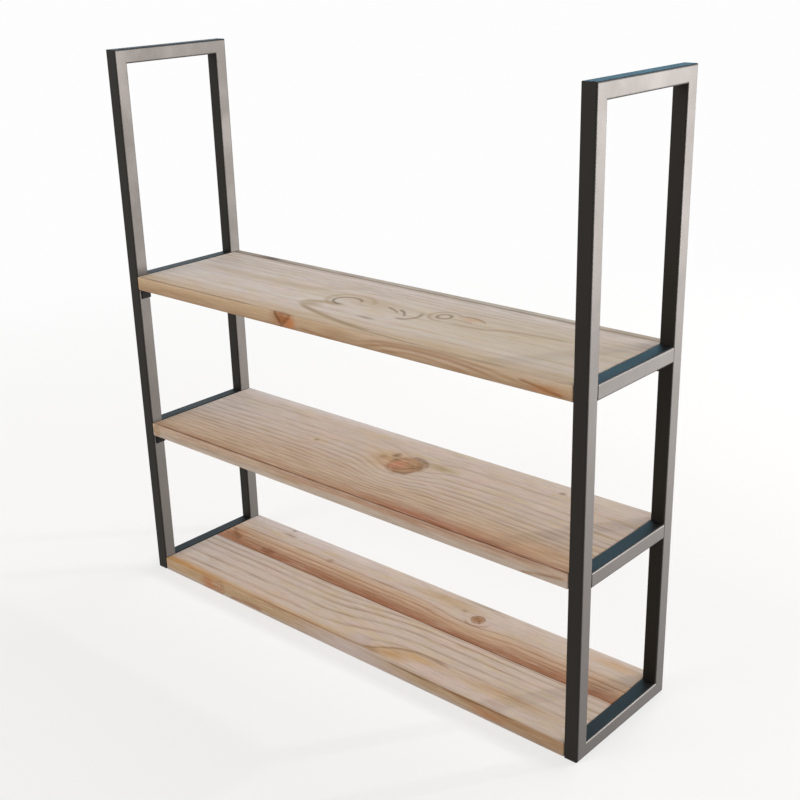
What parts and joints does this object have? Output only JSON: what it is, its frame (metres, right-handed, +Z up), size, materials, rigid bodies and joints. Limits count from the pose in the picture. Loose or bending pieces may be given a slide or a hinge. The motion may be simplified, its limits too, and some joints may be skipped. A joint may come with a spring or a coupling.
{
  "type": "niche shelf",
  "caption": "Free-standing open shelf with ladder-shaped steel tube side frames and softwood boards screwed down on small brackets between them.",
  "frame": {"origin": "on the floor, in the middle of the shelf's footprint", "axes": "+Z up, +Y to the rear, +X along the boards to the right as seen from the front"},
  "size_m": [1, 0.25, 1],
  "materials": {
    "frame_steel": "satin black paint on welded tube",
    "bracket_steel": "matt black paint",
    "screw_steel": "zinc plated",
    "top_board_pine": "pale planed softwood, matt oil",
    "rear_strip_pine": "darker planed softwood, matt oil",
    "middle_board_pine": "pale planed softwood, matt oil",
    "front_plank_pine": "pale planed softwood, matt oil",
    "rear_plank_pine": "reddish planed softwood, matt oil"
  },
  "bodies": {
    "root": {"left_front_post": "frame_steel", "left_rear_post": "frame_steel", "left_top_rail": "frame_steel", "left_bottom_rail": "frame_steel", "left_upper_rung": "frame_steel", "left_lower_rung": "frame_steel", "right_front_post": "frame_steel", "right_rear_post": "frame_steel", "right_top_rail": "frame_steel", "right_bottom_rail": "frame_steel", "right_upper_rung": "frame_steel", "right_lower_rung": "frame_steel", "top_board_wide_plank": "top_board_pine", "top_board_rear_strip": "rear_strip_pine", "middle_board": "middle_board_pine", "bottom_board_front_plank": "front_plank_pine", "bottom_board_rear_plank": "rear_plank_pine", "top_left_front_bracket": "bracket_steel", "top_left_rear_bracket": "bracket_steel", "top_right_front_bracket": "bracket_steel", "top_right_rear_bracket": "bracket_steel", "middle_left_front_bracket": "bracket_steel", "middle_left_rear_bracket": "bracket_steel", "middle_right_front_bracket": "bracket_steel", "middle_right_rear_bracket": "bracket_steel", "bottom_left_front_bracket": "bracket_steel", "bottom_left_rear_bracket": "bracket_steel", "bottom_right_front_bracket": "bracket_steel", "bottom_right_rear_bracket": "bracket_steel", "top_board_screws": "screw_steel", "middle_board_screws": "screw_steel", "bottom_board_screws": "screw_steel"}
  },
  "joints": []
}
